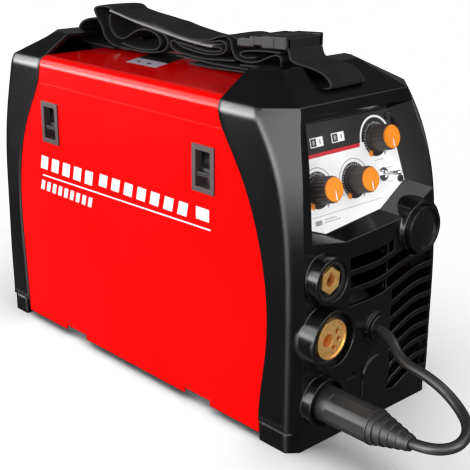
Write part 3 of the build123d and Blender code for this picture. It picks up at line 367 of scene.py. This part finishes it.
# ---------------------------------------------------------------- polarity lead
LEAD_ROUTE = [            # from inside the grommet to the bottom of the boot's bore, in millimetres
    (7.0, -188.0, 79.0), (7.0, -210.0, 79.0), (-4.5, -228.5, 66.0),
    (-2.5, -258.0, 61.0), (-2.5, -281.0, 50.0), (-17.0, -304.0, 43.5),
    (-40.5, -310.0, 40.0), (-57.0, -294.5, 39.0), (-57.0, -273.0, 39.0),
]
LEAD_D = 0.008            # metres


def make_lead():
    curve = bpy.data.curves.new("polarity_lead", "CURVE")
    curve.dimensions = "3D"
    curve.bevel_depth = LEAD_D / 2
    curve.bevel_resolution = 6
    curve.resolution_u = 16
    spline = curve.splines.new("NURBS")
    spline.points.add(len(LEAD_ROUTE) - 1)
    for point, place in zip(spline.points, LEAD_ROUTE):
        point.co = (*vec(*place), 1)
    spline.order_u = 3
    spline.use_endpoint_u = True
    curve.materials.append(SHEATH)
    lead = bpy.data.objects.new("polarity_lead", curve)
    SCENE.collection.objects.link(lead)
    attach(lead, "machine")
    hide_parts("polarity_cable")


make_lead()


# ---------------------------------------------------------------- carrying strap
def smooth_path(points, step=1.5):
    """A Catmull-Rom line through (y, z) points, at about even steps."""
    line = []
    padded = [points[0]] + list(points) + [points[-1]]
    for a, b, c, d in zip(padded, padded[1:], padded[2:], padded[3:]):
        count = max(2, int(math.dist(b, c) / step))
        for i in range(count):
            t = i / count
            line.append(tuple(0.5 * (2 * q + (r - p) * t + (2 * p - 5 * q + 4 * r - s) * t * t
                                     + (3 * q - p - 3 * r + s) * t ** 3) for p, q, r, s in zip(a, b, c, d)))
    line.append(tuple(points[-1]))
    return line


STRAP_HALF = 19.0         # half the webbing's width, millimetres
STRAP_THICK = 1.5
COLUMNS = 12              # faces across the width
RIPPLE = 0.25             # height of the slight waves in the webbing, millimetres
RIPPLE_TURNS = 95         # radians per metre along it
RIPPLE_SLANT = 2.1        # radians from the middle to an edge
EDGE_THINNING = 0.45      # share of the thickness lost at the edges


def ribbon(name, points, half=STRAP_HALF, thick=STRAP_THICK, material=None):
    """Flat webbing along a (y, z) path, thinner at its edges. UVs run in metres along and across."""
    line = smooth_path(points)
    mesh = bpy.data.meshes.new(name)
    build = bmesh.new()
    layer = build.loops.layers.uv.new("UVMap")
    rings = []
    along = 0.0
    for i, (y, z) in enumerate(line):
        before, after = line[max(i - 1, 0)], line[min(i + 1, len(line) - 1)]
        dy, dz = after[0] - before[0], after[1] - before[1]
        size = math.hypot(dy, dz) or 1.0
        normal = (-dz / size, dy / size)
        if i:
            along += math.dist(line[i - 1], line[i]) * MM
        ring = []
        for side in (1, -1):
            for j in range(COLUMNS + 1):
                across = side * (-1 + 2 * j / COLUMNS)
                lift = side * thick / 2 * (1 - EDGE_THINNING * abs(across) ** 8)
                lift += RIPPLE * math.sin(along * RIPPLE_TURNS + across * RIPPLE_SLANT)
                place = vec(half * across, y + normal[0] * lift, z + normal[1] * lift)
                ring.append((build.verts.new(place), across))
        rings.append((ring, along))
    for (ring, start), (following, stop) in zip(rings, rings[1:]):
        for j in range(len(ring)):
            k = (j + 1) % len(ring)
            face = build.faces.new((ring[j][0], ring[k][0], following[k][0], following[j][0]))
            face.smooth = True
            spots = ((start, ring[j][1]), (start, ring[k][1]),
                     (stop, following[k][1]), (stop, following[j][1]))
            for loop, (u, v) in zip(face.loops, spots):
                loop[layer].uv = (u, v * half * MM)
    for ring, _ in (rings[0], rings[-1]):
        build.faces.new([vertex for vertex, _ in ring])
    bmesh.ops.recalc_face_normals(build, faces=build.faces)
    build.to_mesh(mesh)
    build.free()
    piece = new_object(name, mesh, "machine", material or WEBBING)
    return piece


STRAP_RUNS = {            # each layer of the folded strap as (y, z) points, in millimetres
    "strap_front_loop": [
        (-112, 290.5), (-117.3, 288.8), (-119.6, 284), (-121.5, 280.6), (-127.5, 278.8), (-137, 278.2),
        (-147, 276.8), (-154, 274.8), (-160, 270.8), (-162.3, 267.2), (-160, 264.9), (-152, 264),
        (-135, 264), (-106, 264),
    ],
    "strap_front_wave": [
        (-63, 290), (-55, 291.2), (-50, 290.6), (-54.5, 288), (-57, 281), (-61.6, 275.2), (-73, 273.4),
        (-86.6, 275.2), (-99.6, 280.5), (-107, 282.2), (-111.4, 279.9), (-109.6, 276), (-102, 273),
        (-88, 271), (-66, 270),
    ],
    "strap_front_fold": [
        (-110.6, 284.8), (-100, 284.6), (-90.8, 283.8), (-71, 281.2), (-66, 278.6), (-71, 276.6),
        (-84, 277.6),
    ],
    "strap_low_layer": [
        (-110, 268.6), (-100, 268), (-78, 267.2), (-45, 267), (-16, 267.2), (12, 268.0),
    ],
    "strap_lowest_layer": [
        (-109, 264.8), (-70, 264.6), (-30, 263.4), (-4, 263.0),
    ],
    "strap_middle_fold": [
        (-10, 279.6), (-30, 284), (-44, 286.6), (-50, 284), (-48.5, 278.6), (-42, 275.8), (-30, 274.1),
        (-15, 274.1), (3, 275.6), (11, 278.4), (16.5, 280.2), (20, 277.8), (17.5, 273.4), (6, 270.6),
        (-16, 269.6), (-40, 270.8), (-60, 272.2),
    ],
    "strap_inner_fold": [
        (9, 279), (-4, 277.8), (-16, 276.8), (-30, 276.5), (-41, 277.6), (-44.6, 279.4), (-40, 281),
        (-31, 280.6),
    ],
    "strap_rear_wave": [
        (104, 294), (106, 288.3), (103.4, 279.8), (94.7, 274.4), (84.3, 274.6), (72.5, 280.3),
        (60.9, 284.4), (46.9, 284.6), (36.4, 281.2), (33.8, 275.1), (39.2, 269.8), (53, 267.6),
        (70, 267.8), (87.5, 269.8),
    ],
    "strap_rear_outer": [
        (42, 286), (33, 284.6), (26, 281.8), (23.4, 277), (27.5, 271), (38, 267.4), (54, 265.8),
        (80, 265.6), (97, 265.4),
    ],
    "strap_rear_riser": [
        (96, 294.6), (100, 297.4), (106, 299.6), (119, 299.2), (127.4, 296.4), (125, 291),
        (117.8, 281.8), (113.6, 273.2), (106, 267.9), (94, 265.4), (80, 264.8),
    ],
    "strap_rear_loop": [
        (100, 263.8), (134, 264.2), (147, 265.5), (153, 270), (153.4, 276), (149, 281.5), (140, 285.5),
        (130, 287.5), (122, 288.5),
    ],
    "strap_top_layer": [
        (100, 297), (90, 295.2), (77, 293.4), (60, 292), (48, 291), (38, 290.2), (25, 287.8),
        (9, 285.6), (-8, 284.2), (-24, 284.6), (-33, 286.4), (-42, 289.4), (-52, 291), (-63, 290.6),
    ],
}


PAD_RUN = [(104, 296.6), (99.5, 296), (75, 292.2), (47, 288.1), (20, 284.6), (-6, 282.1), (-25, 280.6),
           (-34, 280.5)]
PAD_HALF = 19.6
PAD_THICK = 2.2


def make_strap():
    pieces = [ribbon(name, path) for name, path in STRAP_RUNS.items()]
    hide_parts("carry_strap")
    pad = ribbon("shoulder_pad_sheet", PAD_RUN, half=PAD_HALF, thick=PAD_THICK, material=PAD)
    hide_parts("shoulder_pad")


make_strap()


# ---------------------------------------------------------------- buckle
def rounded_boxes(name, boxes, body, material, radius=1.4):
    """Boxes with rounded edges, joined in one mesh; each is (x, y, z) limits in millimetres and a slope."""
    build = bmesh.new()
    for x, y, z, slope in boxes:
        corners = bmesh.ops.create_cube(build, size=1.0)["verts"]
        for corner in corners:
            place = [low + (high - low) * (part + 0.5) for part, (low, high) in zip(corner.co, (x, y, z))]
            place[2] += slope * (place[1] - (y[0] + y[1]) / 2)
            corner.co = vec(*place)
    mesh = bpy.data.meshes.new(name)
    build.to_mesh(mesh)
    build.free()
    piece = new_object(name, mesh, body, material)
    soften(piece, radius)
    return piece


def soften(piece, radius, segments=3):
    """Rounds the piece's edges and shades it smooth."""
    edge = piece.modifiers.new("rounded", "BEVEL")
    edge.width = radius * MM
    edge.segments = segments
    edge.limit_method = "ANGLE"
    edge.harden_normals = True
    for face in piece.data.polygons:
        face.use_smooth = True


def make_buckle():
    socket = rounded_boxes("buckle_socket_shell", [
        ((-20.5, 20.5), (-106, -91.5), (286.8, 296.4), -0.06),
        ((-20.5, -15.5), (-118, -104), (287.4, 297.2), -0.06),
        ((15.5, 20.5), (-118, -104), (287.4, 297.2), -0.06),
        ((-19, 19), (-118, -114.5), (288.2, 296.2), -0.06),
        ((-19, 19), (-110.5, -107.5), (288.2, 296.4), -0.06),
        ((-9, 9), (-104, -94), (295.6, 297.2), -0.06),
    ], "machine", BUCKLE)
    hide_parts("buckle_socket")
    tongue = rounded_boxes("buckle_tongue_shell", [
        ((-20, 20), (-67.5, -63), (284.6, 291.0), -0.05),
        ((-20, -15.5), (-79, -65), (284.8, 292.6), -0.05),
        ((15.5, 20), (-79, -65), (284.8, 292.6), -0.05),
        ((-20, 20), (-83, -77), (285.6, 294.8), -0.05),
        ((-19.5, -14.5), (-93, -82), (287.2, 295.2), -0.05),
        ((14.5, 19.5), (-93, -82), (287.2, 295.2), -0.05),
        ((-3, 3), (-93, -82), (288.0, 294.6), -0.05),
    ], "machine", BUCKLE)
    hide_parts("buckle_tongue")


make_buckle()


# ---------------------------------------------------------------- printed graphics
PANEL_AT = (0.0, -160.0, 245.0)
PANEL_LEAN = math.radians(15)
KNOB_SPOTS = {"upper": (30.5, -24.8), "centre": (-0.6, -51.8), "left": (-41.2, -51.8)}
WINDOW_SPOTS = [(-34.9, -17.4), (-11.6, -17.2)]
POINTER_LIFT = 17.66      # just over the knob caps, in millimetres from the panel
DOOR_PRINT_X = -84.06     # just outside the door's sheet
TOP_PRINT_Z = 261.06      # just over the cover's top


def on_panel(u, v, w):
    """A point over the control panel: across, up the slope, and out, in millimetres."""
    x, y, z = PANEL_AT
    return vec(x + u, y + v * math.sin(PANEL_LEAN) - w * math.cos(PANEL_LEAN),
               z + v * math.cos(PANEL_LEAN) + w * math.sin(PANEL_LEAN))


def panel_print(name, shapes, lift, material, body="machine"):
    """Flat shapes printed on the panel, each a list of (u, v) corners."""
    points, faces = [], []
    for shape in shapes:
        faces.append(tuple(range(len(points), len(points) + len(shape))))
        points += [on_panel(u, v, lift) for u, v in shape]
    return new_object(name, mesh_from(name, points, faces), body, material)


def box_shape(u, v):
    return [(u[0], v[0]), (u[1], v[0]), (u[1], v[1]), (u[0], v[1])]


def arc_shapes(spot, inner, outer, start, stop, count=48):
    """A ring sector as quads; angles in degrees from the panel's right, turning up."""
    shapes = []
    for i in range(count):
        a, b = (math.radians(start + (stop - start) * (i + k) / count) for k in (0, 1))
        ring = [(outer, a), (outer, b), (inner, b), (inner, a)]
        shapes.append([(spot[0] + r * math.cos(t), spot[1] + r * math.sin(t)) for r, t in ring])
    return shapes


def make_panel_prints():
    band = [(-55.6, -25.4), (-55.6, -3.4), (49.7, -4.4), (52.7, -25.4)]
    panel_print("panel_black_band", [band[::-1]], 0.04, PRINT_BLACK)
    panel_print("panel_red_stripe", [box_shape((-55.6, 11.5), (-28.3, -25.4))], 0.04, PRINT_RED)
    panel_print("panel_grey_line", [box_shape((-54, 28.8), (-71.1, -70.7))], 0.04, PRINT_GREY)
    rings, discs, scales, marks, wedges = [], [], [], [], []
    for name, (u, v) in KNOB_SPOTS.items():
        spot = (u, v)
        if name == "upper":
            rings += arc_shapes(spot, 16.3, 18.0, 0, 360, 72)
        else:
            marks += arc_shapes(spot, 16.2, 16.8, -30, 215, 60)
        discs += arc_shapes(spot, 0.5, 13.8, 0, 360, 72)
        for i in range(31):
            angle = -52 + 284 * i / 30
            scales += arc_shapes(spot, 11.5, 12.6 if i % 3 else 13.2, angle - 1.1, angle + 1.1, 1)
        wedges += arc_shapes(spot, 10.6, 15.2, 226, 244, 6)
        marks.append([(u + 6.6, v - 10.8), (u + 10.6, v - 11.6), (u + 8.2, v - 14.6)])
    panel_print("dial_white_ring", rings, 0.07, PRINT_WHITE)
    panel_print("dial_black_discs", discs, 0.08, PRINT_BLACK)
    panel_print("dial_scales", scales, 0.11, PRINT_WHITE)
    panel_print("dial_orange_marks", wedges, 0.12, ORANGE)
    marks += [box_shape((-49, -42), (-77.2, -73.8)), box_shape((-39, -22), (-76.6, -76.0)),
              box_shape((-39, -26), (-74.6, -74.0)), box_shape((37, 46), (-49.4, -49.0)),
              box_shape((38, 44), (-60.4, -60.0)), box_shape((26, 36), (-41.8, -41.3))]
    panel_print("panel_grey_marks", marks, 0.10, PRINT_GREY)
    for i, (u, v) in enumerate(WINDOW_SPOTS):
        face = box_shape((u - 6.9, u + 6.9), (v - 3.5, v + 3.5))
        display = [box_shape((u - 6.2, u - 0.4), (v - 2.9, v + 2.9)),
                   box_shape((u + 3.1, u + 4.1), (v - 1.6, v + 1.6))]
        digit = box_shape((u - 4.6, u - 2.0), (v - 1.7, v + 1.7))
        panel_print(f"window_face_{i}", [face], 0.45, PRINT_WHITE)
        panel_print(f"window_display_{i}", display, 0.48, PRINT_BLACK)
        panel_print(f"window_digit_{i}", [digit], 0.50, PRINT_GREY)
    for name, (u, v) in KNOB_SPOTS.items():
        line = [(u - 0.6, v - 7.6), (u + 0.6, v - 7.6), (u + 0.35, v - 1.2), (u - 0.35, v - 1.2)]
        pointer = panel_print(name + "_pointer", [line], POINTER_LIFT, PRINT_WHITE, name + "_dial")


def make_door_prints():
    """White stripes on the side door, in place of words."""
    shapes = [[(126.7, 152.2), (126.7, 151.0), (-103.9, 155.6), (-103.9, 156.8)],
              [(-87.2, 172.0), (-87.2, 162.0), (-102.2, 162.0), (-102.2, 172.0)]]
    slant = 2.6
    for first, count, low, high, width, gap in (
            (127.0, 5, 157.8, 170.2, 11.0, 6.2),
            (37.2, 7, 160.3, 171.4, 11.0, 6.4),
            (128.5, 9, 137.6, 146.6, 5.4, 3.8)):
        for i in range(count):
            y = first - i * (width + gap)
            shapes.append([(y, high), (y + slant, low), (y - width + slant, low), (y - width, high)])
    points = [vec(DOOR_PRINT_X, y, z) for shape in shapes for y, z in shape]
    faces = [tuple(range(4 * i, 4 * i + 4)) for i in range(len(shapes))]
    new_object("door_stripes", mesh_from("door_stripes", points, faces), "door", PRINT_WHITE)


def make_top_label():
    """A plain two-tone label on the cover, with two small marks."""
    for name, corners, material in (
            ("label_pale", [(-45, 8), (-24, 17), (-24, 58), (-46, 47)], LABEL_PALE),
            ("label_dark", [(-24, 17), (14, 34), (14, 76), (-24, 58)], PRINT_BLACK),
            ("label_mark", [(-4.5, -43), (-4, -59), (3, -56), (2.5, -37)], LABEL_PALE)):
        points = [vec(x, y, TOP_PRINT_Z) for x, y in corners]
        new_object(name, mesh_from(name, points, [(0, 1, 2, 3)]), "machine", material)
    for i, y in enumerate((24, 38)):
        points = [vec(x, y + dy, TOP_PRINT_Z + 0.02) for x, dy in ((-38, 0), (-34, 2), (-34, 8), (-38, 5))]
        sign = mesh_from(f"label_sign_{i}", points, [(0, 1, 2, 3)])
        new_object(f"label_sign_{i}", sign, "machine", PRINT_BLACK)


make_panel_prints()
make_door_prints()
make_top_label()


# ---------------------------------------------------------------- lights and floor
def make_stage():
    half = 6.0            # metres
    corners = [(-half, -half, 0), (half, -half, 0), (half, half, 0), (-half, half, 0)]
    material, tree, surface = shader("studio_floor", (0.93, 0.93, 0.93), 0.7)
    tree.links.new(ramp(tree, noise(tree, object_place(tree), 2.0), (0.92, 0.92, 0.92), (0.94, 0.94, 0.94)),
                   surface.inputs["Base Color"])
    mesh = mesh_from("studio_floor", corners, [(0, 1, 2, 3)])
    mesh.materials.append(material)
    floor = bpy.data.objects.new("studio_floor", mesh)
    floor.location.z = -0.0005
    floor.is_shadow_catcher = True
    floor.visible_glossy = False
    SCENE.collection.objects.link(floor)


def area_light(name, place, aim, width, height, watts, linked):
    """A rectangular softbox; a light-linking collection says which pieces it lights or leaves out."""
    data = bpy.data.lights.new(name, "AREA")
    data.shape = "RECTANGLE"
    data.size = width
    data.size_y = height
    data.energy = watts
    lamp = bpy.data.objects.new(name, data)
    lamp.location = place
    lamp.rotation_euler = (Vector(aim) - Vector(place)).to_track_quat("-Z", "Y").to_euler()
    lamp.light_linking.receiver_collection = linked
    SCENE.collection.objects.link(lamp)


def glow(tree, heading, towards, inner, outer, strength, upright=True):
    """A soft bright patch in the reflected surroundings: a tall strip if upright, else a round spot."""
    if upright:
        flat = add_node(tree, "ShaderNodeVectorMath", operation="MULTIPLY")
        flat.inputs[1].default_value = (1, 1, 0)
        tree.links.new(heading, flat.inputs[0])
        level = add_node(tree, "ShaderNodeVectorMath", operation="NORMALIZE")
        tree.links.new(flat.outputs["Vector"], level.inputs[0])
        heading = level.outputs["Vector"]
    aim = add_node(tree, "ShaderNodeVectorMath", operation="DOT_PRODUCT")
    aim.inputs[1].default_value = Vector(towards).normalized()
    tree.links.new(heading, aim.inputs[0])
    edges = (math.cos(math.radians(outer)), math.cos(math.radians(inner)))
    return span(tree, aim.outputs["Value"], 0.0, strength, *edges)


def make_world():
    """White studio walls for the camera, dim ones for the light, and strips and spots to be reflected."""
    world = bpy.data.worlds.new("studio")
    world.use_nodes = True
    tree = world.node_tree
    background = tree.nodes["Background"]
    background.inputs["Color"].default_value = (1, 1, 1, 1)
    heading = add_node(tree, "ShaderNodeTexCoord").outputs["Generated"]
    total = None
    for patch in GLOWS:
        value = glow(tree, heading, **patch)
        if total is not None:
            both = add_node(tree, "ShaderNodeMath", operation="ADD")
            tree.links.new(total, both.inputs[0])
            tree.links.new(value, both.inputs[1])
            value = both.outputs["Value"]
        total = value
    path = add_node(tree, "ShaderNodeLightPath")
    shiny = add_node(tree, "ShaderNodeMath", operation="MULTIPLY_ADD")
    tree.links.new(total, shiny.inputs[0])
    tree.links.new(path.outputs["Is Glossy Ray"], shiny.inputs[1])
    shiny.inputs[2].default_value = AMBIENT
    strength = add_node(tree, "ShaderNodeMix", data_type="FLOAT")
    tree.links.new(path.outputs["Is Camera Ray"], strength.inputs["Factor"])
    tree.links.new(shiny.outputs["Value"], strength.inputs["A"])
    strength.inputs["B"].default_value = 1.0
    tree.links.new(strength.outputs["Result"], background.inputs["Strength"])
    SCENE.world = world


AMBIENT = 0.08
GLOWS = [
    dict(towards=(-0.64, 0.75, 0.06), inner=5, outer=12, strength=16.0, upright=False),
    dict(towards=(-0.42, 0.75, 0.42), inner=4, outer=14, strength=4.0, upright=False),
    dict(towards=(-1, 0, -0.04), inner=4, outer=26, strength=7.0, upright=False),
    dict(towards=(-1, 0, 0), inner=6, outer=26, strength=1.6),
    dict(towards=(0.55, -0.35, 0.75), inner=8, outer=24, strength=3.0, upright=False),
    dict(towards=(-0.48, -0.72, 0.46), inner=6, outer=38, strength=4.0, upright=False),
]


def make_lights():
    """Large softboxes left and front; they leave out the floor, which keeps only its soft contact shadow."""
    unlit = bpy.data.collections.new("not_the_floor")
    unlit.objects.link(bpy.data.objects["studio_floor"])
    middle = (0, 0, 0.15)
    area_light("left_rear_softbox", (-1.5, 1.2, 0.65), middle, 1.6, 1.3, 26, unlit)
    area_light("left_front_softbox", (-1.7, -0.6, 0.75), middle, 1.0, 1.0, 26, unlit)
    area_light("front_softbox", (0.4, -1.8, 0.8), middle, 0.9, 1.0, 24, unlit)
    unlit.collection_objects[0].light_linking.link_state = "EXCLUDE"
    floor_only = bpy.data.collections.new("floor_only")
    floor_only.objects.link(bpy.data.objects["studio_floor"])
    area_light("overhead_softbox", (-0.2, -0.1, 1.8), (0, 0, 0), 2.2, 2.2, 22, floor_only)
    make_world()


make_stage()
make_lights()
